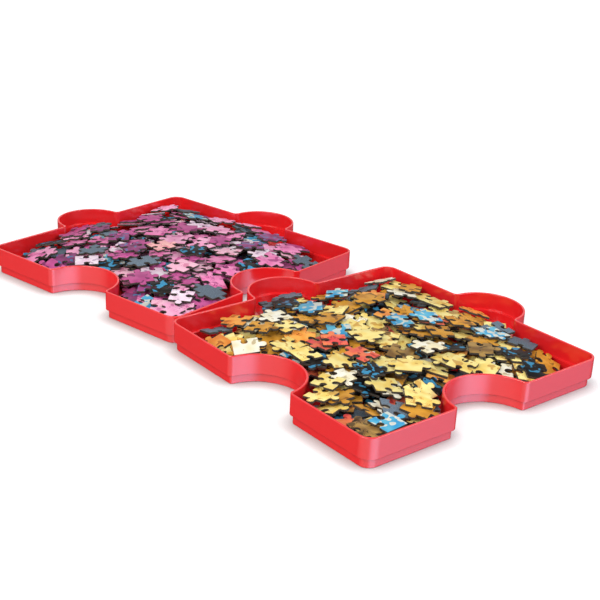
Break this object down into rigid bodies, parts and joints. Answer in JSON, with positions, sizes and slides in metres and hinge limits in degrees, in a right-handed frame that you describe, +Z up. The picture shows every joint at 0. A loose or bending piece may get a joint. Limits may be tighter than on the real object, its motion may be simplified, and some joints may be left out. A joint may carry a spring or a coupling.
{
  "type": "jigsaw puzzle sorting trays",
  "caption": "Interlocking stackable puzzle sorting trays shaped like jigsaw pieces, each holding a heap of loose puzzle pieces.",
  "frame": {"origin": "centre of the front tray's underside, midway between its four sides with tabs and sockets left out", "axes": "+X towards the front tray's right socket side, +Y towards its back tab side, +Z up"},
  "size_m": [0.443, 0.2623, 0.0239],
  "materials": {
    "tray_plastic": "gloss",
    "front_top_print": "satin",
    "rear_top_print": "satin",
    "cream_print": "satin",
    "amber_print": "satin",
    "orange_print": "satin",
    "ivory_print": "satin",
    "coral_print": "satin",
    "brown_print": "satin",
    "black_print": "satin",
    "blue_print": "satin",
    "grey_board": "matte",
    "pale_pink_print": "satin",
    "peach_print": "satin",
    "rose_print": "satin",
    "magenta_print": "satin",
    "plum_print": "satin",
    "white_print": "satin"
  },
  "bodies": {
    "front_tray": {"front_tray": "tray_plastic"},
    "rear_tray": {"rear_tray": "tray_plastic"},
    "front_heap": {"front_cream_pieces": "cream_print", "front_amber_pieces": "amber_print", "front_orange_pieces": "orange_print", "front_ivory_pieces": "ivory_print", "front_coral_pieces": "coral_print", "front_brown_pieces": "brown_print", "front_black_pieces": "black_print", "front_blue_pieces": "blue_print", "front_face_down_pieces": "grey_board"},
    "rear_heap": {"rear_pale_pink_pieces": "pale_pink_print", "rear_peach_pieces": "peach_print", "rear_rose_pieces": "rose_print", "rear_magenta_pieces": "magenta_print", "rear_plum_pieces": "plum_print", "rear_white_pieces": "white_print", "rear_black_pieces": "black_print", "rear_blue_pieces": "blue_print", "rear_face_down_pieces": "grey_board"},
    "front_top_piece": {"front_top_piece": "front_top_print"},
    "rear_top_piece": {"rear_top_piece": "rear_top_print"}
  },
  "joints": [
    {"name": "rear_tray_lift", "type": "slide", "parent": "front_tray", "child": "rear_tray", "axis": [0, 0, 1], "range_m": [0, 0.05]},
    {"name": "front_heap_lift", "type": "slide", "parent": "front_tray", "child": "front_heap", "axis": [0, 0, 1], "range_m": [0, 0.03]},
    {"name": "rear_heap_lift", "type": "slide", "parent": "rear_tray", "child": "rear_heap", "axis": [0, 0, 1], "range_m": [0, 0.03]},
    {"name": "front_piece_lift", "type": "slide", "parent": "front_heap", "child": "front_top_piece", "axis": [0, 0, 1], "range_m": [0, 0.03]},
    {"name": "rear_piece_lift", "type": "slide", "parent": "rear_heap", "child": "rear_top_piece", "axis": [0, 0, 1], "range_m": [0, 0.03]}
  ]
}
